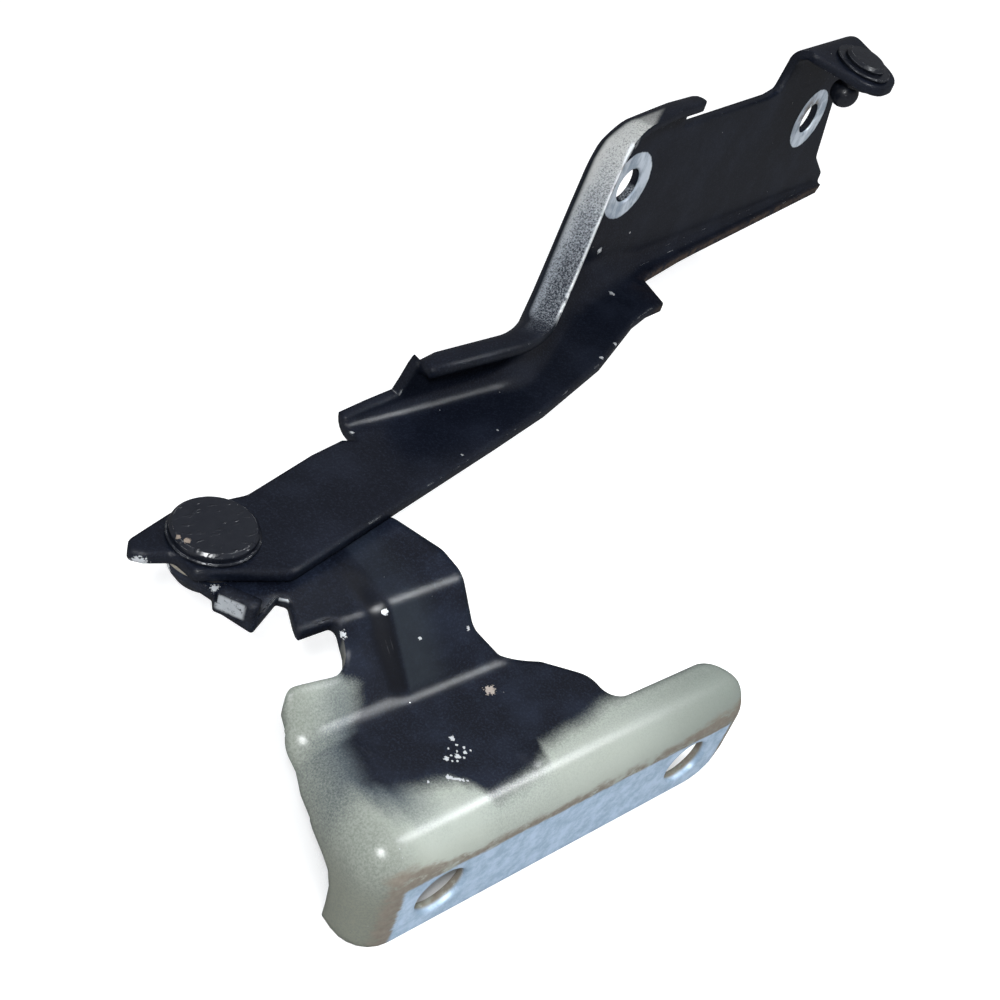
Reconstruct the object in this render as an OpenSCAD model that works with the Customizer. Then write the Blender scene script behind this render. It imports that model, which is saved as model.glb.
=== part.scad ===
// Bonnet hinge: a stamped body bracket and a stamped gooseneck arm on one riveted pivot.
// Frame: origin midway between the two body bolt holes on the mating face, Z along the
// pivot axis, Y from the mating face towards the pivot, millimetres throughout.

/* [Sheet] */
// Gauge of both stamped leaves
sheet = 2.6; // [2.2:0.1:3]

/* [Body bracket] */
// Distance between the two body bolt holes
body_pitch = 65; // [60:0.5:70]
// Diameter of the body bolt holes
body_hole_d = 11.4; // [9:0.1:12]
// Height of the mounting plate top above the body bolt holes
plate_height = 15.1; // [14:0.1:17]
// Depth of the lower foot edge below the body bolt holes
foot_drop = 9.4; // [8.5:0.1:11]
// Outside radius of the bend from plate to foot
foot_bend = 8.5; // [8.2:0.1:9]
// How far the bonnet end of the foot curls away from the mating face
foot_curl = 1.2; // [0.6:0.1:2]
// Outside radius of the bend round the left edge of plate and foot
edge_bend = 7.5; // [6.5:0.1:7.8]
// Depth of the recess left of the step in the bracket
swage = 2; // [1:0.1:2.6]
// Height of the stop lug above the pivot plate
lug_rise = 2.6; // [2:0.1:3]

/* [Pivot] */
// Distance from the mating face to the pivot axis
pivot_y = 67.5; // [66:0.1:70]
// Height of the pivot plate top above the body bolt holes
pivot_height = 29.8; // [29:0.1:32]
// Diameter of the rivet shank
shank_d = 10; // [9:0.1:11]
// Radial running clearance between shank and bush
run_clear = 0.04; // [0.02:0.01:0.08]
// Wall of the bush sleeve
bush_wall = 1; // [0.8:0.1:1.2]
// Thickness of the bush flange between the leaves
bush_flange = 0.8; // [0.5:0.1:1.2]
// Diameter of the rivet head
head_d = 16.6; // [15.5:0.1:17.5]
// Height of the rivet head
head_h = 1.7; // [1.4:0.1:2.4]
// Thickness of the washer under the rivet head
head_washer_h = 0.8; // [0.5:0.1:1.2]

/* [Bonnet arm] */
// Height of the bonnet holes above the arm plate top
bonnet_hole_z = 28; // [26:0.1:30]
// Distance between the two bonnet bolt holes
bonnet_pitch = 97; // [94:0.5:100]
// Diameter of the bonnet bolt holes
bonnet_hole_d = 9.2; // [8.4:0.1:11]
// Height of the bonnet flange above the arm plate top
flange_h = 40.7; // [40:0.1:42]
// Width of the folded lip, measured from the back of the web
lip_w = 8; // [6.5:0.1:9]
// Inside radius of the lip fold
lip_r = 2; // [1.5:0.1:2.5]

/* [Strut stud] */
// Reach of the ear in front of the bonnet flange
ear_reach = 22; // [21:0.1:23]
// Fall of the ear from level, degrees
ear_fall = 10.5; // [7:0.5:13]
// Diameter of the ball
ball_d = 8; // [7.5:0.1:9]
// Diameter of the stud collar
collar_d = 13; // [12:0.1:14]

/* [Hidden] */
$fn = 72;
pivot_x = -45.5;
z_arm = pivot_height + bush_flange;
z_top = z_arm + sheet;
bush_od = shank_d + 2 * (run_clear + bush_wall);
z_head = z_top + head_washer_h;
z_pin_low = pivot_height - sheet;
tail_washer_h = 1.2;
tail_h = 2.4;

// Web path of the arm in plan from the pivot: start, gooseneck foot, gooseneck head, end
web_a = [41.5, 18.9];
web_b = [87.8, 20];
web_c = [123, 44.05];
flange_ang = 11.6;
flange_dir = [cos(flange_ang), sin(flange_ang)];
flange_o = web_c + 11.25 * flange_dir;
web_d = flange_o + 136 * flange_dir;
hole_s = 6.2;
stud_s = 91.8;
stud_a = -12.5;
bonnet_z = z_top + bonnet_hole_z;

function unit(v) = v / norm(v);
// Arc of radius r that rounds the corner at b between a and c, in n steps
function corner(a, b, c, r, n = 7) =
  let (u = unit(a - b), v = unit(c - b), h = acos(u * v) / 2)
  let (m = b + unit(u + v) * r / sin(h), p = b + u * r / tan(h) - m, q = b + v * r / tan(h) - m)
  let (w = 180 - 2 * h)
  [for (k = [0:n]) m + (sin((1 - k / n) * w) * p + sin(k / n * w) * q) / sin(w)];
function xy(p) = [p[0], p[1]];
// Closed outline from [x, y, radius] rows
function outline(p) = [for (i = [0:len(p) - 1])
  let (a = xy(p[(i + len(p) - 1) % len(p)]), b = xy(p[i]), c = xy(p[(i + 1) % len(p)]))
  each (p[i][2] > 0 ? corner(a, b, c, p[i][2]) : [b])];
// Evenly spaced points from a to b without b
function run(a, b, n) = [for (k = [0:n - 1]) a + (b - a) * k / n];
function ease(v) = let (u = max(0, min(1, v))) u * u * (3 - 2 * u);

// Sheet of two grids of equal size, front f and back b, closed round its border
module sheet_body(f, b) {
  m = len(f);
  n = len(f[0]);
  pts = concat([for (r = f) each r], [for (r = b) each r]);
  o = m * n;
  faces = concat(
    [for (i = [0:m - 2], j = [0:n - 2]) each
      [[i * n + j, i * n + j + 1, (i + 1) * n + j + 1], [i * n + j, (i + 1) * n + j + 1, (i + 1) * n + j]]],
    [for (i = [0:m - 2], j = [0:n - 2]) each
      [[o + i * n + j, o + (i + 1) * n + j + 1, o + i * n + j + 1],
       [o + i * n + j, o + (i + 1) * n + j, o + (i + 1) * n + j + 1]]],
    [for (i = [0:m - 2]) each
      [[i * n, (i + 1) * n, o + (i + 1) * n], [i * n, o + (i + 1) * n, o + i * n],
       [i * n + n - 1, o + (i + 1) * n + n - 1, (i + 1) * n + n - 1],
       [i * n + n - 1, o + i * n + n - 1, o + (i + 1) * n + n - 1]]],
    [for (j = [0:n - 2]) each
      [[j, o + j + 1, j + 1], [j, o + j, o + j + 1],
       [(m - 1) * n + j, (m - 1) * n + j + 1, o + (m - 1) * n + j + 1],
       [(m - 1) * n + j, o + (m - 1) * n + j + 1, o + (m - 1) * n + j]]]);
  polyhedron(points = pts, faces = faces);
}

// Body bracket: side profile from the pivot plate over the wall and plate to the foot
wall_y = 43;
prof = [
  [pivot_y + 14, pivot_height, 0],
  [wall_y, pivot_height, 5],
  [wall_y - (pivot_height - plate_height) / 1.12, plate_height, 5],
  [0, plate_height, foot_bend],
  [0, -foot_drop - 3, 0]];
prof_pts = [for (i = [0:4]) each (prof[i][2] == 0 ? [xy(prof[i])] :
  corner(xy(prof[i - 1]), xy(prof[i]), xy(prof[i + 1]), prof[i][2], 8))];
// The same profile with extra rows where the recess fades and along the plate
side = concat([prof_pts[0]], [for (d = [13.5, 17, 20.5]) [pivot_y - d, pivot_height]],
  [for (i = [1:9]) prof_pts[i]], [for (u = [0.15, 0.3]) prof_pts[9] + u * (prof_pts[10] - prof_pts[9])],
  [for (i = [10:18]) prof_pts[i]], [for (y = [24, 20, 14]) [y, plate_height]],
  [for (i = [19:len(prof_pts) - 1]) prof_pts[i]]);
plate_row = 25;
function side_dir(j) = unit(side[min(j + 1, len(side) - 1)] - side[max(j - 1, 0)]);
function side_out(j) = let (d = side_dir(j)) [d[1], -d[0]];
// Share of the recess at a point of the profile: none near the pivot and on the plate
function recess(p) = ease((pivot_y - 13.5 - p[0]) / 7) * ease((p[1] - plate_height) / 5);
step_x = pivot_x + 21.5;
foot_l = pivot_x - 4;
foot_r = pivot_x + 92.5;
roll_x = foot_l + edge_bend;
// Rows along X: [x, angle turned round the left edge]
stations = concat([for (k = [0:6]) [roll_x, 90 - 15 * k]], [for (x = run(roll_x + 6, step_x - 2.5, 2)) [x, 0]],
  [for (x = run(step_x - 2.5, step_x + 2.5, 6)) [x, 0]], [for (x = run(step_x + 2.5, foot_r - 6, 3)) [x, 0]],
  [for (k = [0:3]) [foot_r - 6 + 7 * k / 3, 0]]);
function curl(x) = foot_curl * pow(max(0, x - foot_r + 6) / 6, 2);
// Share of the left edge bend: none on the pivot plate, full on plate and foot
function roll(p) = ease((plate_height + 3.6 - p[1]) / 3.5);
// Share of the full turn round the left edge, less where the flank has only begun
function turn_share(y) = y > 20 ? 0.64 + 0.36 * ease((29 - y) / 9) : 1;
function bracket_pt(st, j, d) =
  let (o = side_out(j), p = side[j], w = roll(p), t = st[1] * turn_share(p[0]), r = edge_bend)
  let (sink = swage * recess(p) * (1 - ease((st[0] - step_x + 2.5) / 5)) + w * r * (1 - cos(t)))
  let (left = (1 - w) * (p[0] > wall_y - 4 ? 14 : 4.9) * st[1] / 90 + w * r * sin(t))
  let (q = p - o * (sink + d * cos(w * t)))
  [st[0] - left + d * sin(w * t), q[0] + curl(st[0]) * ease((14 - p[0]) / 14), q[1]];
// Free edge of the left flank, in Y and Z
flank_edge = [[10.5, -foot_drop - 3], [10.7, -4.8], [11.1, plate_height - 15.9], [12.4, plate_height - 13],
  [14.6, plate_height - 11.3], [18.7, plate_height - 9], [20.4, plate_height - edge_bend]];

module body_bracket() {
  color("#1c1f26")
  difference() {
    union() {
      intersection() {
        union() {
          sheet_body([for (q = stations) [for (j = [0:len(side) - 1]) bracket_pt(q, j, sheet)]],
            [for (q = stations) [for (j = [0:len(side) - 1]) bracket_pt(q, j, 0)]]);
          translate([foot_l, 0, 0]) rotate([90, 0, 90]) linear_extrude(sheet)
            polygon(concat(flank_edge, [for (j = [plate_row:len(side) - 1]) side[j] - side_out(j) * edge_bend]));
        }
        translate([pivot_x, pivot_y, -foot_drop - 1]) linear_extrude(pivot_height + foot_drop + 3)
          polygon(outline([
            [-6.2, 9.6, 7], [12, 9.6, 12], [30, 2, 10], [38, -6, 4], [41.9, -17.4, 6], [41.3, -31.7, 3],
            [46, -36.4, 4], [54, -40.6, 4], [61.2, -48, 6], [61.2, -55.4, 4], [88, -55.8, 6],
            [92.5, -63, 4], [92.5, 2 - pivot_y, 0], [92.5, -pivot_y - 1, 0], [-5, -pivot_y - 1, 0],
            [-5, -36, 0], [-1.45, -33, 0], [-1.45, -29.2, 2.4], [13.4, -30.6, 3.8], [13.4, -22.9, 1.6],
            [5, -22.9, 0.6], [6.9, -16.4, 0.8], [5.2, -15.2, 0.6], [-1.8, -18.8, 0.8], [-6.3, -12.1, 0.8],
            [-5.2, -9.9, 1], [-8.6, -1, 4]]));
        translate([0, pivot_y + 20, 0]) rotate([90, 0, 0]) linear_extrude(pivot_y + 30)
          polygon(outline([[pivot_x - 12, -foot_drop, 0], [foot_r, -foot_drop, 11],
            [foot_r, pivot_height + 5, 0], [pivot_x - 12, pivot_height + 5, 0]]));
      }
      translate([pivot_x, pivot_y, pivot_height - sheet + 0.3])
        linear_extrude(sheet - 0.3 + lug_rise)
          polygon(outline([[-6.2, -12.2, 0.8], [-1.9, -18.7, 0.8], [0.4, -17.2, 0.6], [-3.9, -10.7, 0.6]]));
    }
    for (s = [-1, 1])
      translate([s * body_pitch / 2, -1, 0]) rotate([-90, 0, 0]) cylinder(d = body_hole_d, h = sheet + 4);
    translate([pivot_x, pivot_y, pivot_height - 8]) cylinder(d = shank_d, h = 16);
  }
}

// Bonnet arm: L-shaped sheet swept along the web path, plate and ear added
function web_at(x) = web_a + (web_b - web_a) * (x - web_a[0]) / (web_b[0] - web_a[0]);
web_stations = concat([for (x = [web_a[0], 48.2, 54.8, 56.2, 57.4]) web_at(x)],
  run(web_at(58.6), web_at(web_b[0] - 9), 4),
  corner(web_a, web_b, web_c, 22, 8), run(web_b + 0.32 * (web_c - web_b), web_c - 0.2 * (web_c - web_b), 5),
  corner(web_b, web_c, web_d, 30, 6), [for (s = [-3.2, 2, 7, 12, 17, 20.5, 22.6, 23.8]) flange_o + s * flange_dir],
  run(flange_o + 24.2 * flange_dir, web_d, 6), [web_d]);
// Stations where the lip starts and ends
lip_from = 5;
lip_to = 38;
// Last station where the plate joins the swept strip
plate_to = 35;
function web_dir(i) = unit(web_stations[min(i + 1, len(web_stations) - 1)] - web_stations[max(i - 1, 0)]);
function web_out(i) = let (d = web_dir(i)) [-d[1], d[0]];
// Bend radius and free width of the plate in front of the web, top height above the plate
function bend_r(x) = lookup(x, [[40, 1.2], [46, 2.4], [55, 3.6], [60, 4], [80, 4], [96, 7.5], [124, 10], [145, 7.6],
  [153, 5.4], [160, 4], [196, 2.8], [270, 1]]);
function strip_w(x) = lookup(x, [[40, 5], [80, 5.4], [96, 9], [124, 11.5], [146, 9.4], [153, 7.2], [160, 4.9],
  [196, 3.5], [270, 1.5]]);
// Width of the lip: wider up the gooseneck, narrower on the flange, cut back to its end
function lip_at(x) = lip_w + lookup(x, [[58.6, -1.6], [61, -0.3], [84, 0], [92, 0.4], [112, 0.3], [124, 0.4],
  [132, 0], [142, -0.8], [156, -1.1], [157.3, -1.7], [157.7, -2.6]]);
function top_h(x) = lookup(x, [[40, 1.3], [44.3, 2.5], [49, 3.3], [54.8, 4.3], [56.2, 7.4], [57.4, 10.6], [58.6, 12.8],
  [62, 14.2], [84, 14.5], [92, 15.6], [98, 19.2], [104, 25.8], [110, 33.8], [116, 41], [122, 46.2], [130, 49],
  [145, 50], [156, 49.8], [170, 49]]);
n_bend = 6;
function arc_steps(c, r, a0, a1, n) = [for (k = [0:n])
  let (a = a0 + (a1 - a0) * k / n) [c[0] + r * cos(a), c[1] + r * sin(a), cos(a), sin(a)]];
// Rows of offset, height and outward direction for one station; a lip when lip is true
function section(x, lip, h) =
  let (r = bend_r(x), w = h - lip_r - sheet)
  concat([[-strip_w(x), 0, 0, -1]], arc_steps([-r, r], r, -90, 0, n_bend),
    lip ? concat(arc_steps([-lip_r, w], lip_r, 0, 90, 5), [[sheet - lip_at(x), w + lip_r, 0, 1]]) : [[0, h, 1, 0]]);
module web_run(i0, i1, lip, h) {
  rows = [for (i = [i0:i1]) section(web_stations[i][0], lip, h < 0 ? top_h(web_stations[i][0]) : h)];
  sheet_body([for (i = [i0:i1]) [for (q = rows[i - i0])
      let (p = web_stations[i] + web_out(i) * q[0]) [p[0], p[1], z_top + q[1]]]],
    [for (i = [i0:i1]) [for (q = rows[i - i0])
      let (p = web_stations[i] + web_out(i) * (q[0] + sheet * q[2])) [p[0], p[1], z_top + q[1] + sheet * q[3]]]]);
}
module in_flange() translate([flange_o[0], flange_o[1], 0]) rotate(flange_ang) children();

module arm_plate() {
  far = [for (i = [0:plate_to]) web_stations[i] - web_out(i) * strip_w(web_stations[i][0])];
  translate([0, 0, z_arm]) linear_extrude(sheet)
    polygon(outline(concat([[11.5, 7.4, 5], [-4, 8.4, 5], [-14.6, 4.7, 2], [-16, 2.2, 1.2], [-13.8, 0.2, 1],
      [-8.8, -1.8, 2], [-7.8, -7.2, 2], [8.6, -14.2, 4], [38, -6.3, 0], [71, 2.8, 0], [90, 8.2, 0],
      [116, 17.8, 0], [138, 29.2, 10], [145.9, 32, 5], [153, 33.2, 1.2]],
      [for (i = [0:len(far) - 1]) let (q = far[len(far) - 1 - i]) [q[0], q[1], 0]], [[38.5, 15, 0], [30, 13.2, 0]])));
}

// Ear section in the flange frame: web stub, fold and sloping leaf
ear_r = 3;
ear_up = 8.1;
ear_turn = 90 + ear_fall;
ear_zc = z_top + flange_h + ear_up;
ear_len = (ear_reach - ear_r + ear_r * cos(ear_turn)) / sin(ear_turn);
function ear_side(o) = let (r = ear_r + o, e = [r * cos(ear_turn) - ear_r, ear_zc + r * sin(ear_turn)])
  concat([[o, ear_zc]], [for (k = [1:8]) [r * cos(k * ear_turn / 8) - ear_r, ear_zc + r * sin(k * ear_turn / 8)]],
    [e + ear_len * [-sin(ear_turn), cos(ear_turn)]]);
module ear_leaf() {
  e0 = ear_side(0);
  e1 = ear_side(sheet);
  intersection() {
    rotate([90, 0, 90]) linear_extrude(130)
      polygon(concat(e0, [for (k = [0:len(e1) - 1]) e1[len(e1) - 1 - k]]));
    translate([0, 0, ear_zc - 30]) linear_extrude(60)
      polygon(outline([[77, sheet + 1, 0], [107, sheet + 1, 0], [106, -2, 3], [100.4, -ear_reach, 9],
        [85, -ear_reach, 8.5], [77, -4, 4]]));
  }
}
// Top of the ear leaf at the stud, in the flange frame
ear_tip = [(ear_r + sheet) * cos(ear_turn) - ear_r, ear_zc + (ear_r + sheet) * sin(ear_turn)];
stud_z = ear_tip[1] + (ear_tip[0] - stud_a) / tan(ear_turn);
module on_stud() in_flange() translate([stud_s, stud_a, stud_z]) rotate([ear_fall, 0, 0]) children();
shank_ear_d = 8;

module bonnet_arm() {
  color("#20232b")
  difference() {
    translate([pivot_x, pivot_y, 0]) union() {
      arm_plate();
      web_run(0, lip_from, false, -1);
      web_run(lip_from, lip_to, true, -1);
      web_run(lip_to, len(web_stations) - 1, false, flange_h);
      in_flange() ear_leaf();
      in_flange() translate([0, sheet, z_top]) rotate([90, 0, 0]) linear_extrude(sheet)
        polygon(outline([[69, flange_h, 0], [114, flange_h, 0], [107, flange_h + ear_up, 0],
          [77, flange_h + ear_up, 0], [74.5, flange_h + 1, 2]]));
    }
    translate([pivot_x, pivot_y, z_arm - 8]) cylinder(d = bush_od, h = 20);
    translate([pivot_x, pivot_y, 0]) in_flange() {
      for (s = [hole_s, hole_s + bonnet_pitch])
        translate([s, 8, bonnet_z]) rotate([90, 0, 0]) cylinder(d = bonnet_hole_d, h = 16);
      translate([0, 20, z_top]) rotate([90, 0, 0]) linear_extrude(60)
        polygon(outline([[108, 60, 0], [109.5, 52, 0], [122.9, 11, 4], [129.8, 5.8, 3], [134.4, 2.4, 3], [127, -8, 0],
          [150, -8, 0], [150, 60, 0]]));
    }
    translate([pivot_x, pivot_y, 0]) on_stud() translate([0, 0, -8]) cylinder(d = shank_ear_d, h = 16);
  }
}

module pivot_bush() {
  color("#6d6a5f") translate([pivot_x, pivot_y, pivot_height]) rotate_extrude()
    polygon([[shank_d / 2 + run_clear, 0], [9, 0], [9, bush_flange], [bush_od / 2, bush_flange],
      [bush_od / 2, bush_flange + sheet], [shank_d / 2 + run_clear, bush_flange + sheet]]);
}

module head_washer() {
  color("#23262d") translate([pivot_x, pivot_y, z_top]) rotate_extrude()
    polygon([[shank_d / 2 + 0.1, 0], [head_d / 2 + 0.5, 0], [head_d / 2 + 0.5, head_washer_h - 0.2],
      [head_d / 2 + 0.3, head_washer_h], [shank_d / 2 + 0.1, head_washer_h]]);
}

module pivot_rivet() {
  color("#262932") translate([pivot_x, pivot_y, 0]) rotate_extrude()
    polygon([[0, z_pin_low - tail_washer_h - tail_h], [5.8, z_pin_low - tail_washer_h - tail_h],
      [6.6, z_pin_low - tail_washer_h - tail_h + 0.8], [6.6, z_pin_low - tail_washer_h],
      [shank_d / 2, z_pin_low - tail_washer_h], [shank_d / 2, z_head], [head_d / 2, z_head],
      [head_d / 2, z_head + head_h - 0.6], [head_d / 2 - 0.6, z_head + head_h], [0, z_head + head_h]]);
}

module tail_washer() {
  color("#3a3d44") translate([pivot_x, pivot_y, z_pin_low - tail_washer_h])
    difference() {
      cylinder(d = 15.4, h = tail_washer_h);
      translate([0, 0, -1]) cylinder(d = shank_d + 0.2, h = tail_washer_h + 2);
    }
}

module ball_stud() {
  color("#8a8d92") translate([pivot_x, pivot_y, 0]) on_stud() rotate_extrude()
    polygon(concat([[0, 2.6], [5.2, 2.6], [6, 1.8], [6, 1], [4, 1], [4, -sheet], [collar_d / 2, -sheet],
      [collar_d / 2, -sheet - 2], [3, -sheet - 2.4]],
      [for (k = [0:24]) let (a = 48 - 138 * k / 24)
        [max(0, ball_d / 2 * cos(a)), -sheet - 6.6 + ball_d / 2 * sin(a)]]));
}

module stud_washer() {
  color("#2a2d34") translate([pivot_x, pivot_y, 0]) on_stud() rotate_extrude()
    polygon([[4.1, 0], [8.2, 0], [8.2, 0.7], [7.9, 1], [4.1, 1]]);
}

body_bracket();
pivot_rivet();
tail_washer();
bonnet_arm();
pivot_bush();
head_washer();
ball_stud();
stud_washer();
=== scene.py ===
"""Looks of the bonnet hinge: both stamped leaves, the riveted pivot and the strut stud.

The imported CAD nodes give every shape. Each one is copied, welded, rounded at its outer edges
and given a worn paint finish. The camera stands where the photograph was taken from.
Lengths are in metres, and inside the finishes in millimetres.
"""

import math

import bmesh
import bpy
from mathutils import Matrix, Vector


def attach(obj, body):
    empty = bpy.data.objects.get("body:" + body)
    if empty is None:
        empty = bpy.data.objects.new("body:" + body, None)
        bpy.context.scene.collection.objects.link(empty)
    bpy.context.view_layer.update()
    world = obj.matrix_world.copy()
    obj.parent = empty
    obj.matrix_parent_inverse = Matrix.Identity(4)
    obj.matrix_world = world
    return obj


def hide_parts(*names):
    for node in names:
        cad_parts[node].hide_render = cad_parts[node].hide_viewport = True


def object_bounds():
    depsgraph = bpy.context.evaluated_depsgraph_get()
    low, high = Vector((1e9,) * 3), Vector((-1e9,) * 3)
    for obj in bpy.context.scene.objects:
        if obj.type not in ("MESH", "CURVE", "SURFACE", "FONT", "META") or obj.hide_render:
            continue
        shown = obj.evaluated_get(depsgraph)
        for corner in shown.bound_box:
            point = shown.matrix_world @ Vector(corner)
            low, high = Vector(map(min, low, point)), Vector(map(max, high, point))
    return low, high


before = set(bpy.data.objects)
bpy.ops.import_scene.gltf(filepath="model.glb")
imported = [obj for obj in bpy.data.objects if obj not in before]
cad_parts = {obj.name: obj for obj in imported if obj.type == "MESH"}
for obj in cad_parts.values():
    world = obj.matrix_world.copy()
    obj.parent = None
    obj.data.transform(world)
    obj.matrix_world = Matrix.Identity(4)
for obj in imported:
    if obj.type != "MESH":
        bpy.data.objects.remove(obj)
cad_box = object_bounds()


# Body bracket: one cranked pressing of steel sheet, bolted to the car's body through the two
# holes in its foot. Black paint covers pivot plate, wall and mounting plate; the left flank
# and the foot show pale primer, with a bare strip where the foot was clamped.
MM_PER_M = 1000.0
COAT_ROUGHNESS = 0.26
COAT_IOR = 2.0
CHIP_GRAIN = 0.5
CHIP_RAGGEDNESS = 3.2


class Finish:
    """A node tree with short helpers; places come from Object coordinates in millimetres."""

    def __init__(self, name):
        self.material = bpy.data.materials.new(name)
        self.material.use_nodes = True
        self.tree = self.material.node_tree
        self.shader = self.tree.nodes["Principled BSDF"]
        place = self.tree.nodes.new("ShaderNodeTexCoord")
        scale = self.tree.nodes.new("ShaderNodeVectorMath")
        scale.operation = "SCALE"
        scale.inputs["Scale"].default_value = MM_PER_M
        self.join(place.outputs["Object"], scale.inputs[0])
        self.place = scale.outputs[0]
        split = self.tree.nodes.new("ShaderNodeSeparateXYZ")
        self.join(self.place, split.inputs[0])
        self.x, self.y, self.z = split.outputs
        self.geometry = self.tree.nodes.new("ShaderNodeNewGeometry")

    def join(self, source, target):
        """Links a socket to the target, or sets the target to a plain value."""
        if hasattr(source, "is_linked"):
            self.tree.links.new(source, target)
        else:
            target.default_value = source

    def math(self, operation, first, second=0.0, third=0.0):
        node = self.tree.nodes.new("ShaderNodeMath")
        node.operation = operation
        for value, socket in zip((first, second, third), node.inputs):
            self.join(value, socket)
        return node.outputs[0]

    def chain(self, operation, terms):
        """One two-value operation carried through all terms."""
        total = terms[0]
        for term in terms[1:]:
            total = self.math(operation, total, term)
        return total

    def add(self, *terms):
        return self.chain("ADD", terms)

    def times(self, *terms):
        return self.chain("MULTIPLY", terms)

    def most(self, *terms):
        return self.chain("MAXIMUM", terms)

    def fade(self, value, low, high):
        """0 at low, 1 at high, with soft ends; low may be above high."""
        node = self.tree.nodes.new("ShaderNodeMapRange")
        node.interpolation_type = "SMOOTHSTEP"
        self.join(value, node.inputs["Value"])
        node.inputs["From Min"].default_value = min(low, high)
        node.inputs["From Max"].default_value = max(low, high)
        if low > high:
            node.inputs["To Min"].default_value = 1.0
            node.inputs["To Max"].default_value = 0.0
        return node.outputs["Result"]

    def noise(self, size, detail=3.0, rough=0.55, stretch=None):
        """Noise from 0 to 1 with grains of the given size in millimetres."""
        node = self.tree.nodes.new("ShaderNodeTexNoise")
        node.inputs["Scale"].default_value = 1.0 / size
        node.inputs["Detail"].default_value = detail
        node.inputs["Roughness"].default_value = rough
        place = self.place
        if stretch:
            push = self.tree.nodes.new("ShaderNodeVectorMath")
            push.operation = "MULTIPLY"
            push.inputs[1].default_value = stretch
            self.join(place, push.inputs[0])
            place = push.outputs[0]
        self.join(place, node.inputs["Vector"])
        return node.outputs["Fac"]

    def specks(self, spacing, radius):
        """Round specks of up to the given radius, one in each cell of the given spacing."""
        node = self.tree.nodes.new("ShaderNodeTexVoronoi")
        node.inputs["Scale"].default_value = 1.0 / spacing
        self.join(self.place, node.inputs["Vector"])
        return self.fade(node.outputs["Distance"], radius / spacing, radius / spacing * 0.6)

    def curve(self, value, points):
        """Smooth course through (value, result) points; both are scaled to fit a ramp."""
        low, high = points[0][0], points[-1][0]
        top = max(result for _, result in points)
        bottom = min(result for _, result in points)
        node = self.tree.nodes.new("ShaderNodeValToRGB")
        node.color_ramp.interpolation = "EASE"
        share = self.math("DIVIDE", self.math("SUBTRACT", value, low), high - low)
        self.join(share, node.inputs["Fac"])
        stops = node.color_ramp.elements
        while len(stops) < len(points):
            stops.new(0.5)
        for stop, (at, result) in zip(stops, points):
            stop.position = (at - low) / (high - low)
            stop.color = (*[(result - bottom) / (top - bottom)] * 3, 1)
        return self.math("MULTIPLY_ADD", node.outputs["Color"], top - bottom, bottom)

    def along(self, start, angle):
        """Distance along and to the left of a line in plan."""
        ahead = self.math("SUBTRACT", self.x, start[0])
        aside = self.math("SUBTRACT", self.y, start[1])
        cosine, sine = math.cos(angle), math.sin(angle)
        return (self.add(self.times(ahead, cosine), self.times(aside, sine)),
                self.add(self.times(ahead, -sine), self.times(aside, cosine)))

    def distance(self, across, up, across_0, up_0):
        """Distance from a point in a plane of two values."""
        side = self.math("SUBTRACT", across, across_0)
        rise = self.math("SUBTRACT", up, up_0)
        return self.math("SQRT", self.add(self.times(side, side), self.times(rise, rise)))

    def chips(self, spots):
        """Ragged spots, each a place on the surface and a radius, with one shared outline noise."""
        wander = self.math("SUBTRACT", self.noise(CHIP_GRAIN, 3, 0.6), 0.5)
        wander = self.times(wander, CHIP_RAGGEDNESS)
        total = 0.0
        for place, radius in spots:
            node = self.tree.nodes.new("ShaderNodeVectorMath")
            node.operation = "DISTANCE"
            self.join(self.place, node.inputs[0])
            node.inputs[1].default_value = place
            reach = self.add(self.math("DIVIDE", node.outputs["Value"], radius), wander)
            total = self.most(total, self.fade(reach, 1.0, 0.8))
        return total

    def aligned(self, normal, direction):
        """Dot product of a normal with a direction or another normal."""
        node = self.tree.nodes.new("ShaderNodeVectorMath")
        node.operation = "DOT_PRODUCT"
        self.join(normal, node.inputs[0])
        self.join(direction, node.inputs[1])
        return node.outputs["Value"]

    def facing(self, direction, low, high):
        """How far the surface faces a direction, from 0 at low to 1 at high."""
        return self.fade(self.aligned(self.geometry.outputs["Normal"], direction), low, high)

    def soften(self, width):
        """Normal rounded over edges and bends by the given width in millimetres."""
        bevel = self.tree.nodes.new("ShaderNodeBevel")
        bevel.samples = 6
        bevel.inputs["Radius"].default_value = width / MM_PER_M
        return bevel.outputs[0]

    def edge(self, width, bends=None):
        """1 on edges within the width, 0 on flat faces; keeps the rounded normal for close()."""
        near = self.soften(width)
        self.rounded = self.soften(bends) if bends else near
        return self.fade(self.aligned(near, self.geometry.outputs["True Normal"]), 0.985, 0.86)

    def blend(self, share, base, top):
        """Colour top laid over colour base by share."""
        node = self.tree.nodes.new("ShaderNodeMix")
        node.data_type = "RGBA"
        self.join(share, node.inputs["Factor"])
        for value, socket in ((base, node.inputs["A"]), (top, node.inputs["B"])):
            if hasattr(value, "is_linked"):
                self.join(value, socket)
            else:
                socket.default_value = (*value, 1.0)
        return node.outputs["Result"]

    def between(self, share, low, high):
        """Number low where share is 0, high where it is 1."""
        return self.math("MULTIPLY_ADD", share, self.math("SUBTRACT", high, low), low)

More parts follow.
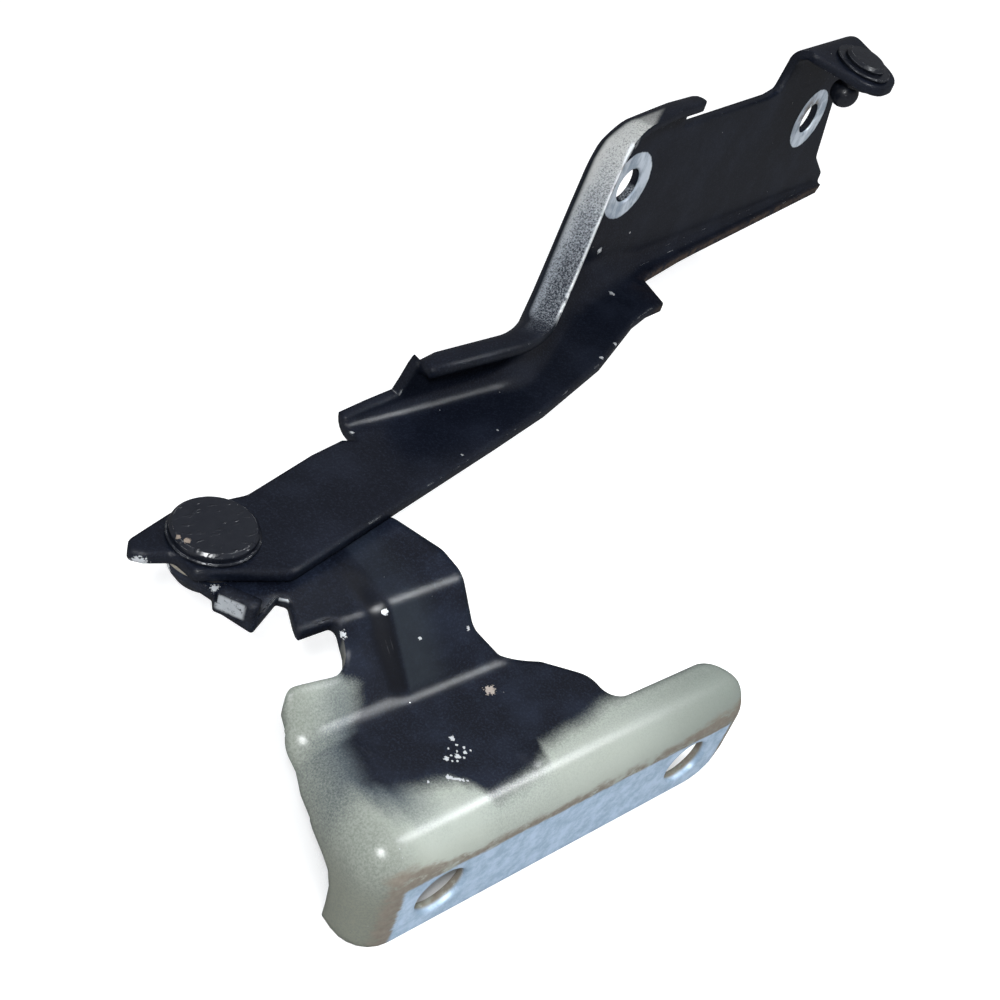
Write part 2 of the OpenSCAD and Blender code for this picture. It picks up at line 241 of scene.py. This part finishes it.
    def close(self, colour, rough, metal, relief, height, gloss):
        """Wires the results into the shader; gloss is the weight of a thin clear coat."""
        sockets = self.shader.inputs
        self.join(colour, sockets["Base Color"])
        self.join(rough, sockets["Roughness"])
        self.join(metal, sockets["Metallic"])
        sockets["Specular IOR Level"].default_value = 0.0
        sockets["Coat Weight"].default_value = gloss
        sockets["Coat Roughness"].default_value = COAT_ROUGHNESS
        sockets["Coat IOR"].default_value = COAT_IOR
        bump = self.tree.nodes.new("ShaderNodeBump")
        bump.inputs["Distance"].default_value = height / MM_PER_M
        self.join(relief, bump.inputs["Height"])
        self.join(self.rounded, bump.inputs["Normal"])
        self.join(bump.outputs[0], sockets["Normal"])
        self.join(bump.outputs[0], sockets["Coat Normal"])
        return self.material


WELD_REACH = 0.00005
FLAT_WITHIN = math.radians(0.5)
ROUNDED_ABOVE = math.radians(55)
SMOOTH_BELOW = math.radians(38)
CROWDED_REACH = 0.0025
SHEET_ROUNDING = 0.35
LARGE_FACE_WEIGHT = 90


def dressed(node, body, finish, rounding=SHEET_ROUNDING, crowded=None):
    """Copy of a CAD node with its outer edges rounded, which stands in for the node.

    Flat triangles are joined into whole faces, and each sharp outer edge gets the rounding
    in millimetres. Edges close to the crowded point, in millimetres, stay as they are.
    """
    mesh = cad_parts[node].data.copy()
    piece = bpy.data.objects.new(node + "_look", mesh)
    bpy.context.scene.collection.objects.link(piece)
    piece.matrix_world = Matrix.Identity(4)
    weld = bmesh.new()
    weld.from_mesh(mesh)
    bmesh.ops.remove_doubles(weld, verts=weld.verts, dist=WELD_REACH)
    bmesh.ops.dissolve_limit(weld, angle_limit=FLAT_WITHIN, verts=weld.verts, edges=weld.edges)
    outer = [edge for edge in weld.edges if edge.is_convex and edge.calc_face_angle() > ROUNDED_ABOVE]
    if crowded:
        spot = Vector(crowded) / MM_PER_M
        outer = [edge for edge in outer
                 if min((end.co - spot).length for end in edge.verts) > CROWDED_REACH]
    bmesh.ops.bevel(weld, geom=outer, offset=rounding / MM_PER_M, segments=2, profile=0.5,
                    affect="EDGES", clamp_overlap=False)
    for face in weld.faces:
        face.smooth = True
    for edge in weld.edges:
        edge.smooth = edge.is_manifold and edge.calc_face_angle() < SMOOTH_BELOW
    weld.to_mesh(mesh)
    weld.free()
    level = piece.modifiers.new("level_faces", "WEIGHTED_NORMAL")
    level.weight = LARGE_FACE_WEIGHT
    level.keep_sharp = True
    mesh.materials.clear()
    mesh.materials.append(finish)
    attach(piece, body)
    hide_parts(node)


BLACK = (0.0040, 0.0055, 0.0105)
BRACKET_FLAKE = (0.026, 0.036, 0.064)
# Grey of the scuffed band beside the step's ridge, partly a painted sheen, then the black of the painted
# shade in the step's corner
SCUFF_AND_SHEEN_GREY = (0.026, 0.033, 0.041)
STEP_SHADE_BLACK = (0.0016, 0.0022, 0.0045)
PRIMER_PALE = (0.47, 0.51, 0.46)
PRIMER_DULL = (0.42, 0.45, 0.39)
PRIMER_OLIVE = (0.30, 0.295, 0.22)
PRIMER_MISTED = (0.185, 0.20, 0.175)
PRIMER_FAR_END = (0.275, 0.305, 0.272)
HAZE_BLUE = (0.050, 0.066, 0.084)
OVERSPRAY = (0.045, 0.055, 0.065)
CUT_EDGE = (0.20, 0.20, 0.175)
RUBBED_BROWN = (0.17, 0.14, 0.11)
RUBBED_TAN = (0.32, 0.29, 0.245)
BARE_SHADE = (0.27, 0.37, 0.48)
BARE_LIGHT = (0.42, 0.53, 0.66)
SILVER = (0.50, 0.52, 0.54)
LUG_STEEL = (0.33, 0.35, 0.37)
BEIGE = (0.42, 0.365, 0.32)

# Black ends in front of this line of (x, y) on the mounting plate
PLATE_EDGE = ((-44, 24), (-40, 17), (-36.8, 14.3), (-30.5, 12.4), (-26, 11.6), (-24, 9.4), (-20.5, 5.0),
              (-15, 5.4), (-10, 6.0), (-6.8, 7.4), (-5, 10.0), (4, 10.9), (15, 12.4), (48, 13.0))
# Black ends left of this line of (y, x) on the wall, and everything behind the wall is black
WALL_EDGE = ((0, -41.5), (18, -40.6), (26.6, -39.2), (28.8, -36.4), (32.9, -32.8), (37.5, -31.0),
             (41, -31.5))
WALL_BACK_Y = (41, 43)
BEHIND_WALL = 40

# Soft limits of the zones, each from where it starts to where it is full
PRIMER_ZONE = (2.3, -2.9)
WAIST_FRONT_Y = (34.6, 39.6)
WAIST_BACK_Y = (42, 41)
WAIST_X = (-36, -33.6)
WAIST_BLACK = 9
CUT_EDGE_X = (-31, -33)
FLANK_X = (-36, -46)
FLANK_LOW_Z = (14, 0)
SPRAY_ZONE = (-13, 1)
FAR_END_X = (4, 42)
HAZE_X = (-29, -38)
HAZE_ZONE = (-12, 0.5)
HAZE_Z = (2, 12)
WALL_FOOT_Z = (15.4, 17.5)
WALL_TOP_Z = (31, 28)
# Band of scuffed grey with painted sheen beside the step's ridge, then the painted shade in the step's
# corner
SCUFF_SHEEN_LEFT_X = (-22.2, -21.2)
SCUFF_SHEEN_RIGHT_X = (-10, -18)
STEP_SHADE_LEFT_X = (-26.6, -25)
STEP_SHADE_RIGHT_X = (-21.6, -22.8)
BROWN_TOP_Z = 8.2
BROWN_END_RISE = 2.4
BROWN_ZONE = (1.2, -0.6)
BROWN_FRONT_Y = (4.4, 2.4)
BROWN_LEFT_X = (-46.6, -44.6)
FOOT_ENDS_X = (24, 42)
STRIP_MIDDLE_X = 0.8
STRIP_END_X = (43.6, 42.4)
STRIP_FRONT_Y = (1.5, 0.6)
STRIP_TOP_Z = (7.0, 6.2)
LUG_BOTTOM_Z = (28.0, 28.8)
LUG_TOP_Z = (32.2, 31.4)
LUG_NEAR_Y = (50.2, 51.0)
LUG_FAR_Y = (55.6, 54.6)
LUG_FACE = (-0.834, -0.552, 0)
LEFT = (-1, 0, 0)
DIMPLE = (-8.6, 9.6)
DIMPLE_RADIUS = (3.4, 0.6)
PINCH = (-37.8, 23.6)
PINCH_RADIUS = (3.6, 1.0)

# Chips on the mounting plate as (x, y, radius), then those on the wall, the lug and the rim
PLATE_TOP_Z = 15.1
PLATE_CHIPS = ((-20.3, 19.1, 0.55), (-22.4, 17.4, 0.3), (-24.1, 15.8, 0.45), (-21.8, 15.2, 0.6),
               (-20.0, 15.4, 0.4), (-22.9, 15.9, 0.22), (-21.2, 16.2, 0.26), (-20.9, 14.5, 0.3),
               (-22.5, 14.4, 0.25), (-19.5, 16.3, 0.26), (-23.4, 14.8, 0.2), (-20.4, 17.4, 0.24),
               (-18.8, 15.2, 0.22), (-26.3, 12.4, 0.45), (-25.9, 11.9, 0.45), (-25.4, 11.4, 0.4),
               (-24.8, 10.9, 0.38), (-24.2, 10.4, 0.3), (-23.6, 10.0, 0.25), (-30.3, 13.0, 0.3))
OTHER_CHIPS = (((-32.0, 41.9, 25.6), 0.8), ((-23.0, 41.9, 27.9), 0.6), ((-17.0, 37.0, 23.0), 0.35),
               ((-5.6, 35.9, 21.9), 0.4), ((-53.8, 67.9, 27.4), 1.2), ((-50.0, 58.2, 29.8), 0.8),
               ((-48.2, 56.6, 29.8), 0.7))
BEIGE_CHIP = ((-6.1, 25.3, PLATE_TOP_Z), 1.1)
BRACKET_GLOSS = 0.085


def black_reach(paint, wave, grain):
    """How far inside the black a point lies, from the front and the left line, and the waist."""
    ahead = paint.math("SUBTRACT", paint.y, paint.curve(paint.x, PLATE_EDGE))
    aside = paint.math("SUBTRACT", paint.x, paint.curve(paint.y, WALL_EDGE))
    aside = paint.add(aside, paint.times(paint.fade(paint.y, *WALL_BACK_Y), BEHIND_WALL))
    inside = paint.add(paint.math("MINIMUM", ahead, aside), paint.times(wave, 1.2),
                       paint.times(grain, 2.4))
    waist = paint.times(paint.fade(paint.add(paint.y, paint.times(grain, 0.8)), *WAIST_FRONT_Y),
                        paint.fade(paint.y, *WAIST_BACK_Y), paint.fade(paint.x, *WAIST_X))
    return paint.add(inside, paint.times(waist, WAIST_BLACK)), waist


def primer_tone(paint, inside, grain):
    """Pale primer, greyed by overspray near the black, most on the flank and the left corner."""
    flank = paint.fade(paint.x, *FLANK_X)
    spray = paint.times(paint.fade(paint.add(inside, paint.times(grain, 9)), *SPRAY_ZONE),
                        paint.between(flank, 0.30, 0.85))
    tone = paint.blend(paint.noise(16, 3), PRIMER_PALE, PRIMER_DULL)
    tone = paint.blend(paint.times(flank, paint.fade(paint.z, *FLANK_LOW_Z)), tone, PRIMER_OLIVE)
    mist = paint.between(paint.fade(paint.noise(0.42, 3, 0.7), 0.34, 0.68), 0.56, 0.92)
    tone = paint.blend(paint.times(flank, mist), tone, PRIMER_MISTED)
    tone = paint.blend(paint.fade(paint.x, *FAR_END_X), tone, PRIMER_FAR_END)
    haze = paint.times(paint.fade(paint.x, *HAZE_X),
                       paint.fade(paint.add(inside, paint.times(grain, 5)), *HAZE_ZONE),
                       paint.fade(paint.z, *HAZE_Z))
    tone = paint.blend(paint.times(haze, 0.9), tone, HAZE_BLUE)
    return paint.blend(paint.times(spray, paint.fade(grain, -0.22, 0.2)), tone, OVERSPRAY)


def flaked_black(paint, flake, patch_size, patch_share):
    """Black paint with fine paler flakes and wide, slightly paler patches."""
    fine = paint.times(paint.fade(paint.noise(0.5, 3, 0.8), 0.44, 0.74), 0.35)
    patches = paint.times(paint.fade(paint.noise(patch_size, 3), 0.4, 0.7), patch_share)
    return paint.blend(paint.add(fine, patches), BLACK, flake)


def bracket_black(paint):
    """Flaked black, with a scuffed grey band beside the ridge of the step that is partly painted sheen, and
    painted shade darkening the step's corner.
    """
    black = flaked_black(paint, BRACKET_FLAKE, 11, 0.25)
    wall = paint.times(paint.fade(paint.z, *WALL_FOOT_Z), paint.fade(paint.z, *WALL_TOP_Z))
    # Scuffed grey band beside the step's ridge, partly a painted sheen standing in for its highlight
    scuff_and_sheen = paint.times(wall, paint.fade(paint.x, *SCUFF_SHEEN_LEFT_X), paint.fade(paint.x, *SCUFF_SHEEN_RIGHT_X),
                        paint.between(paint.noise(2.2, 4, 0.7), 0.5, 1.2))
    # Painted shade: darker black in the step's concave corner
    corner = paint.times(wall, paint.fade(paint.x, *STEP_SHADE_LEFT_X), paint.fade(paint.x, *STEP_SHADE_RIGHT_X))
    black = paint.blend(paint.times(scuff_and_sheen, 0.7), black, SCUFF_AND_SHEEN_GREY)
    return paint.blend(paint.times(corner, 0.8), black, STEP_SHADE_BLACK)


def foot_wear(paint, colour, wave):
    """Bare mating strip, with primer rubbed to brown along its upper edge and at both ends."""
    scrub = paint.math("SUBTRACT", paint.noise(3.2, 5, 0.7, (0.5, 1, 1.6)), 0.5)
    height = paint.add(paint.z, paint.times(scrub, 4), paint.times(wave, 2.4))
    ends = paint.fade(paint.math("ABSOLUTE", paint.add(paint.x, paint.times(wave, 8))), *FOOT_ENDS_X)
    reach = paint.add(BROWN_TOP_Z, paint.times(ends, BROWN_END_RISE))
    brown = paint.times(paint.fade(paint.math("SUBTRACT", height, reach), *BROWN_ZONE),
                        paint.fade(paint.y, *BROWN_FRONT_Y),
                        paint.fade(paint.add(paint.x, paint.times(scrub, 4)), *BROWN_LEFT_X),
                        paint.between(ends, paint.fade(paint.noise(7, 3), 0.34, 0.5), 1.0),
                        paint.fade(paint.noise(1.6, 5, 0.72, (0.4, 1, 1)), 0.28, 0.5))
    colour = paint.blend(brown, colour, paint.blend(paint.noise(1.4, 5, 0.7), RUBBED_BROWN, RUBBED_TAN))
    across = paint.math("ABSOLUTE", paint.add(paint.x, paint.times(scrub, 3), -STRIP_MIDDLE_X))
    strip = paint.times(paint.fade(paint.y, *STRIP_FRONT_Y),
                        paint.fade(paint.add(paint.z, paint.times(scrub, 2.2)), *STRIP_TOP_Z),
                        paint.fade(across, *STRIP_END_X))
    bare = paint.blend(paint.fade(paint.noise(4.2, 6, 0.74), 0.34, 0.66), BARE_SHADE, BARE_LIGHT)
    return paint.blend(strip, colour, bare), strip, brown


def bracket_finish():
    paint = Finish("bracket_paint")
    wave = paint.math("SUBTRACT", paint.noise(9, 2), 0.5)
    grain = paint.math("SUBTRACT", paint.noise(0.34, 4, 0.75), 0.5)
    inside, waist = black_reach(paint, wave, grain)
    primer = paint.fade(inside, *PRIMER_ZONE)
    colour = paint.blend(primer, bracket_black(paint), primer_tone(paint, inside, grain))
    cut = paint.times(waist, paint.facing(LEFT, 0.4, 0.8), paint.fade(paint.x, *CUT_EDGE_X))
    colour = paint.blend(paint.times(cut, 0.8), colour, CUT_EDGE)
    colour, strip, brown = foot_wear(paint, colour, wave)
    # Chips down to silver, one beige chip, worn edges, the rubbed lug face and dust
    chips = paint.chips([((x, y, PLATE_TOP_Z), radius) for x, y, radius in PLATE_CHIPS] + list(OTHER_CHIPS))
    beige = paint.chips((BEIGE_CHIP,))
    worn = paint.times(paint.edge(0.5, 2.2), paint.fade(paint.noise(4, 4, 0.7), 0.55, 0.68), 0.6)
    lug = paint.times(paint.facing(LUG_FACE, 0.8, 0.95),
                      paint.fade(paint.z, *LUG_BOTTOM_Z), paint.fade(paint.z, *LUG_TOP_Z),
                      paint.fade(paint.y, *LUG_NEAR_Y), paint.fade(paint.y, *LUG_FAR_Y),
                      paint.fade(paint.noise(0.9, 5, 0.7), 0.3, 0.5))
    dust = paint.times(paint.specks(3.4, 0.13), paint.fade(paint.noise(8), 0.5, 0.6))
    bright = paint.most(lug, chips, worn, dust)
    colour = paint.blend(bright, colour, paint.blend(lug, SILVER, LUG_STEEL))
    colour = paint.blend(beige, colour, BEIGE)
    rough = paint.between(primer, 0.24, 0.28)
    rough = paint.between(paint.most(strip, brown), rough, 0.5)
    rough = paint.between(bright, rough, 0.4)
    metal = paint.most(paint.times(strip, 0.3), paint.times(bright, 0.4))
    # Orange peel, one pressed dimple near the front line and the pinched corner of the plate
    dimple = paint.fade(paint.distance(paint.x, paint.y, *DIMPLE), *DIMPLE_RADIUS)
    pinch = paint.times(paint.fade(paint.distance(paint.x, paint.y, *PINCH), *PINCH_RADIUS),
                        paint.fade(paint.noise(1.9, 2, 0.5, (1, 0.5, 1)), 0.35, 0.65))
    relief = paint.add(paint.times(paint.noise(1.3, 3), 0.03), paint.times(paint.noise(0.28, 2), 0.012),
                       paint.times(dimple, 0.3), paint.times(pinch, 0.15))
    return paint.close(colour, rough, metal, relief, 1.0, BRACKET_GLOSS)


dressed("body_bracket", "bracket", bracket_finish())


# Bonnet arm: one gooseneck pressing of steel sheet with a folded lip, an upright flange that
# is bolted to the bonnet and an ear for the strut. It is painted black all over, with a
# speckled worn lip and two bare seats where the bonnet bolts sat.
FLANGE_START = (88.5, 113.8)
FLANGE_ANGLE = math.radians(11.6)
GOOSENECK_START = (42.3, 87.5)
GOOSENECK_ANGLE = math.radians(34.3)
BOLT_MARKS = ((6.2, 61.2), (103.2, 61.2))
MARK_RADIUS = 9.2
SEAT_DEPTH = (0.5, 0.25)
STAIN = (101.5, 63)
STAIN_RADIUS = (7, 3)
LIP_NORMAL = (-0.509, -0.347, 0.772)

# Soft limits on the arm: heights, and distances up and across the gooseneck or along the flange
LIP_FOOT_Z = (44, 50)
LIP_START = (-3, 6)
LIP_NEAR_SIDE = (-9, -7.5)
LIP_FAR_SIDE = (-2.2, 2.2)
LIP_PALER_Z = (50, 84)
LIP_PALE_Z = (58, 88)
LINE_FOOT_Z = (44, 48)
LINE_START = (4, 9)
LINE_END = (44, 40)
LINE_NEAR_SIDE = (-8, -7)
LINE_FAR_SIDE = (-4.9, -5.5)
RUST_START = (8, 20)
RUST_TOP_Z = (33.4, 32.4)
ARM_CHIPS = (((91.8, 114.5, 43.2), 0.9), ((95.0, 108.5, 33.4), 0.7), ((147.0, 124.5, 34.4), 0.4),
             ((104.5, 116.9, 45.0), 0.35), ((-59.7, 68.1, 31.0), 1.4), ((15.0, 69.4, 33.0), 0.35),
             ((28.0, 73.4, 33.0), 0.4), ((-3.5, 83.9, 33.2), 0.4), ((72.0, 87.0, 33.0), 0.6),
             ((80.0, 90.5, 33.0), 0.5))
ARM_FLAKE = (0.022, 0.028, 0.046)
LIP_GREY = (0.36, 0.39, 0.43)
LIP_PALE = (0.62, 0.62, 0.59)
WIPED_SHADE = (0.26, 0.31, 0.37)
WIPED_LIGHT = (0.52, 0.57, 0.63)
STAIN_BROWN = (0.16, 0.145, 0.13)
RUST = (0.055, 0.036, 0.026)
ARM_GLOSS = 0.07
WEB_START = (13.2, 86.8, 41.8)


def rubbed_lip(paint, colour, up_neck, across_neck):
    """Rubbed lip: pale along its far side and at the top, grainy towards its near edge."""
    rub = paint.times(paint.facing(LIP_NORMAL, 0.72, 0.90), paint.fade(paint.z, *LIP_FOOT_Z),
                      paint.fade(across_neck, *LIP_NEAR_SIDE), paint.fade(up_neck, *LIP_START))
    grain = paint.noise(0.4, 4, 0.75)
    wander = paint.times(paint.math("SUBTRACT", paint.noise(5), 0.5), 3)
    far = paint.fade(paint.add(across_neck, wander), *LIP_FAR_SIDE)
    paler = paint.add(paint.times(paint.fade(paint.z, *LIP_PALER_Z), 0.20), paint.times(far, 0.20))
    speckle = paint.times(rub, paint.fade(paint.add(grain, paler), 0.40, 0.76))
    pale_share = paint.fade(paint.add(paint.z, paint.times(far, 8)), *LIP_PALE_Z)
    pale = paint.blend(pale_share, LIP_GREY, LIP_PALE)
    pits = paint.times(rub, paint.fade(grain, 0.4, 0.6), 0.05)
    return paint.blend(speckle, colour, pale), speckle, pits


def bolt_seats(paint, colour, along_flange, off_flange):
    """Bare bolt seats with wiped streaks, and a stain on the one by the ear."""
    rings = []
    for mark in BOLT_MARKS:
        reach = paint.add(paint.distance(along_flange, paint.z, *mark), paint.times(paint.noise(1.2), 0.6))
        rings.append(paint.fade(reach, MARK_RADIUS + 0.5, MARK_RADIUS + 0.1))
    seat = paint.times(paint.fade(paint.math("ABSOLUTE", off_flange), *SEAT_DEPTH), paint.most(*rings))
    smear = paint.fade(paint.noise(3.4, 5, 0.65, (1, 1, 0.5)), 0.36, 0.62)
    stain = paint.times(paint.fade(paint.distance(along_flange, paint.z, *STAIN), *STAIN_RADIUS),
                        paint.fade(paint.noise(2.4, 4), 0.42, 0.56))
    wiped = paint.blend(smear, WIPED_SHADE, WIPED_LIGHT)
    return paint.blend(seat, colour, paint.blend(stain, wiped, STAIN_BROWN)), seat


def arm_finish():
    paint = Finish("arm_paint")
    along_flange, off_flange = paint.along(FLANGE_START, FLANGE_ANGLE)
    up_neck, across_neck = paint.along(GOOSENECK_START, GOOSENECK_ANGLE)
    colour = flaked_black(paint, ARM_FLAKE, 14, 0.2)
    colour, speckle, pits = rubbed_lip(paint, colour, up_neck, across_neck)
    colour, seat = bolt_seats(paint, colour, along_flange, off_flange)
    # White worn line on the lip, worn plate edges, chips and dust
    line = paint.times(paint.fade(across_neck, *LINE_FAR_SIDE), paint.fade(across_neck, *LINE_NEAR_SIDE),
                       paint.fade(paint.z, *LINE_FOOT_Z), paint.fade(up_neck, *LINE_START),
                       paint.fade(up_neck, *LINE_END), paint.fade(paint.noise(3.4, 4, 0.6), 0.36, 0.5))
    worn = paint.times(paint.edge(0.5, 1.8), paint.fade(paint.noise(5, 4, 0.7), 0.57, 0.68), 0.7)
    dust = paint.times(paint.specks(3.8, 0.13), paint.fade(paint.noise(9), 0.5, 0.6))
    bright = paint.most(line, worn, paint.chips(ARM_CHIPS), dust)
    colour = paint.blend(bright, colour, SILVER)
    # Rust tint on the cut lower edge of the flange
    rust = paint.times(paint.fade(along_flange, *RUST_START), paint.fade(paint.z, *RUST_TOP_Z),
                       paint.fade(paint.noise(4, 4, 0.7), 0.35, 0.6))
    colour = paint.blend(rust, colour, RUST)
    rough = paint.between(paint.most(speckle, seat), paint.between(rust, 0.23, 0.5), 0.5)
    metal = paint.most(paint.times(seat, 0.3), paint.times(bright, 0.4))
    relief = paint.add(paint.times(paint.noise(1.5, 3), 0.03), paint.times(paint.noise(0.3, 2), 0.012), pits)
    return paint.close(colour, rough, metal, relief, 1.0, ARM_GLOSS)


dressed("bonnet_arm", "arm", arm_finish(), crowded=WEB_START)


# Pivot: a steel rivet through both leaves, with a washer under its head and one at its tail,
# turning in a flanged liner pressed into the arm. Head and washers are painted with the
# leaves, and the head is chipped.
FASTENER_SHEEN = (0.020, 0.022, 0.028)
CHIP_TAN = (0.27, 0.22, 0.18)
HEAD_CHIPS = (((-53.1, 67.2, 35.6), 0.5), ((-52.2, 65.8, 35.6), 0.6))
LINER_SHADE = (0.13, 0.12, 0.10)
LINER_LIGHT = (0.24, 0.22, 0.18)
FASTENER_GLOSS = 0.11
RING_ROUNDING = 0.2


def fastener_finish(name, chips=()):
    paint = Finish(name)
    worn = paint.times(paint.edge(0.35), paint.fade(paint.noise(3, 4, 0.7), 0.48, 0.62), 0.5)
    colour = paint.blend(paint.times(paint.noise(2.5, 3), 0.6), BLACK, FASTENER_SHEEN)
    colour = paint.blend(worn, colour, SILVER)
    if chips:
        colour = paint.blend(paint.chips(chips), colour, CHIP_TAN)
    dents = paint.fade(paint.noise(2.4, 2, 0.5, (1, 2.2, 1)), 0.56, 0.68)
    relief = paint.add(paint.times(paint.noise(1.4, 3), 0.04), paint.times(dents, 0.10))
    return paint.close(colour, 0.26, paint.times(worn, 0.5), relief, 1.0, FASTENER_GLOSS)


def liner_finish():
    paint = Finish("bush_liner")
    paint.rounded = paint.soften(0.2)
    tone = paint.blend(paint.noise(2), LINER_SHADE, LINER_LIGHT)
    return paint.close(tone, 0.5, 0.6, paint.noise(0.6), 0.02, FASTENER_GLOSS)


washer_paint = fastener_finish("washer_paint")
dressed("pivot_rivet", "bracket", fastener_finish("rivet_paint", HEAD_CHIPS))
dressed("head_washer", "bracket", washer_paint, RING_ROUNDING)
dressed("tail_washer", "bracket", washer_paint, RING_ROUNDING)
dressed("pivot_bush", "arm", liner_finish(), RING_ROUNDING)


# Strut stud: a turned steel ball stud set through the ear, with a washer ring under its head.
# It is painted with the arm, and the gas strut's socket would snap onto its ball.
STUD_RING_ROUNDING = 0.25

dressed("ball_stud", "arm", fastener_finish("stud_steel"))
dressed("stud_washer", "arm", washer_paint, STUD_RING_ROUNDING)


# Floor: a pale plane under the foot, which glows white to rays of the camera, of gloss and of
# transmission. The glow dims by ambient occlusion where the hinge covers the floor, which paints
# the hinge's shadow onto it.
FLOOR_Z = cad_box[0][2]
FLOOR_SIZE = 4
FLOOR_GREY = (0.55, 0.55, 0.55, 1)
WHITE = (1, 1, 1, 1)
FLOOR_GLOW = 0.80
GLOW_RISE = (0.2, 1.0)
COVER_DISTANCE = 0.07
COVER_RANGE = (0.20, 0.62)
COVERED_GLOW = 0.03


def seen(tree):
    """1 for rays of the camera, of gloss and of transmission, which all see the white background."""
    path = tree.nodes.new("ShaderNodeLightPath")
    total = path.outputs["Is Camera Ray"]
    for name in ("Is Glossy Ray", "Is Transmission Ray"):
        node = tree.nodes.new("ShaderNodeMath")
        node.operation = "MAXIMUM"
        tree.links.new(total, node.inputs[0])
        tree.links.new(path.outputs[name], node.inputs[1])
        total = node.outputs[0]
    return total


def product(tree, first, second):
    """First value times second."""
    node = tree.nodes.new("ShaderNodeMath")
    node.operation = "MULTIPLY"
    tree.links.new(first, node.inputs[0])
    tree.links.new(second, node.inputs[1])
    return node.outputs[0]


def rising(tree, value, course, least):
    """From least at the start of the course to 1 at its end."""
    node = tree.nodes.new("ShaderNodeMapRange")
    node.inputs["From Min"].default_value, node.inputs["From Max"].default_value = course
    node.inputs["To Min"].default_value = least
    tree.links.new(value, node.inputs["Value"])
    return node.outputs["Result"]


def floor_finish():
    material = bpy.data.materials.new("floor_white")
    material.use_nodes = True
    tree = material.node_tree
    shader = tree.nodes["Principled BSDF"]
    shader.inputs["Base Color"].default_value = FLOOR_GREY
    shader.inputs["Roughness"].default_value = 0.9
    shader.inputs["Specular IOR Level"].default_value = 0.0
    shader.inputs["Emission Color"].default_value = WHITE
    place = tree.nodes.new("ShaderNodeTexCoord")
    away = tree.nodes.new("ShaderNodeVectorMath")
    away.operation = "LENGTH"
    tree.links.new(place.outputs["Object"], away.inputs[0])
    cover = tree.nodes.new("ShaderNodeAmbientOcclusion")
    cover.samples = 8
    cover.inputs["Distance"].default_value = COVER_DISTANCE
    # Painted shadow: the glow dims by ambient occlusion where the hinge covers the floor
    lit = product(tree, seen(tree), rising(tree, cover.outputs["AO"], COVER_RANGE, COVERED_GLOW))
    glow = product(tree, lit, rising(tree, away.outputs["Value"], GLOW_RISE, FLOOR_GLOW))
    tree.links.new(glow, shader.inputs["Emission Strength"])
    return material


bpy.ops.mesh.primitive_plane_add(size=FLOOR_SIZE, location=(0, 0, FLOOR_Z))
floor = bpy.context.object
floor.name = "floor"
floor.data.materials.append(floor_finish())


# Room: a dim bluish sky lights the hinge, while rays of the camera, of gloss and of
# transmission see plain white.
SKY_BLUE = (0.62, 0.70, 0.86, 1)
SKY_STRENGTH = 0.12

world = bpy.data.worlds.new("room")
bpy.context.scene.world = world
world.use_nodes = True
room = world.node_tree
sky = room.nodes["Background"]
sky.inputs["Color"].default_value = SKY_BLUE
sky.inputs["Strength"].default_value = SKY_STRENGTH
white = room.nodes.new("ShaderNodeBackground")
white.inputs["Color"].default_value = WHITE
white.inputs["Strength"].default_value = 1.0
swap = room.nodes.new("ShaderNodeMixShader")
room.links.new(seen(room), swap.inputs[0])
room.links.new(sky.outputs[0], swap.inputs[1])
room.links.new(white.outputs[0], swap.inputs[2])
room.links.new(swap.outputs[0], room.nodes["World Output"].inputs["Surface"])


# Lamps: a key light from the right, a flash over the camera, a glint lamp at each of the two
# that shows in gloss alone, and a wide ceiling light. All are square and face the hinge.
CAMERA_RIGHT = Vector((0.7534, -0.6029, 0.2627))
CAMERA_UP = Vector((0.2414, 0.6251, 0.7423))
CAMERA_BACK = Vector((-0.6117, -0.4958, 0.6165))
CAMERA_PLACE = Vector((-0.1609, -0.0868, 0.2092))
HINGE_MIDDLE = Vector((0.02, 0.07, 0.03))
KEY_PLACE = Vector((0.285, -0.134, 0.468))
FLASH_PLACE = CAMERA_PLACE + 0.04 * CAMERA_UP + 0.08 * CAMERA_BACK
CEILING_PLACE = Vector((0.1, 0.25, 0.9))
LAMP_WHITE = (0.97, 0.99, 1.0)
GLINT_WHITE = (0.94, 0.97, 1.0)
CEILING_WHITE = (0.93, 0.96, 1.0)


def lamp(name, place, size, power, colour, gloss_only=False):
    """Square area light aimed at the middle of the hinge; it may show in gloss alone."""
    data = bpy.data.lights.new(name, "AREA")
    data.size = size
    data.energy = power
    data.color = colour
    light = bpy.data.objects.new(name, data)
    light.location = place
    light.rotation_euler = (HINGE_MIDDLE - place).to_track_quat("-Z", "Y").to_euler()
    light.visible_diffuse = not gloss_only
    bpy.context.scene.collection.objects.link(light)


lamp("key", KEY_PLACE, size=0.10, power=1.25, colour=LAMP_WHITE)
lamp("flash", FLASH_PLACE, size=0.04, power=1.25, colour=LAMP_WHITE)
lamp("key_glint", KEY_PLACE, size=0.06, power=3.4, colour=GLINT_WHITE, gloss_only=True)
lamp("flash_glint", FLASH_PLACE, size=0.04, power=2.6, colour=LAMP_WHITE, gloss_only=True)
lamp("ceiling", CEILING_PLACE, size=0.6, power=1.2, colour=CEILING_WHITE)


# Camera: it stands where the photograph was taken from, with the same angle of view
eye = bpy.data.cameras.new("eye")
eye.sensor_width = 36.0
eye.lens = 50.4
eye.clip_start = 0.005
camera = bpy.data.objects.new("eye", eye)
turn = Matrix((CAMERA_RIGHT, CAMERA_UP, CAMERA_BACK)).transposed().to_4x4()
camera.matrix_world = Matrix.Translation(CAMERA_PLACE) @ turn
bpy.context.scene.collection.objects.link(camera)
bpy.context.scene.camera = camera
bpy.context.scene.view_settings.view_transform = "Standard"
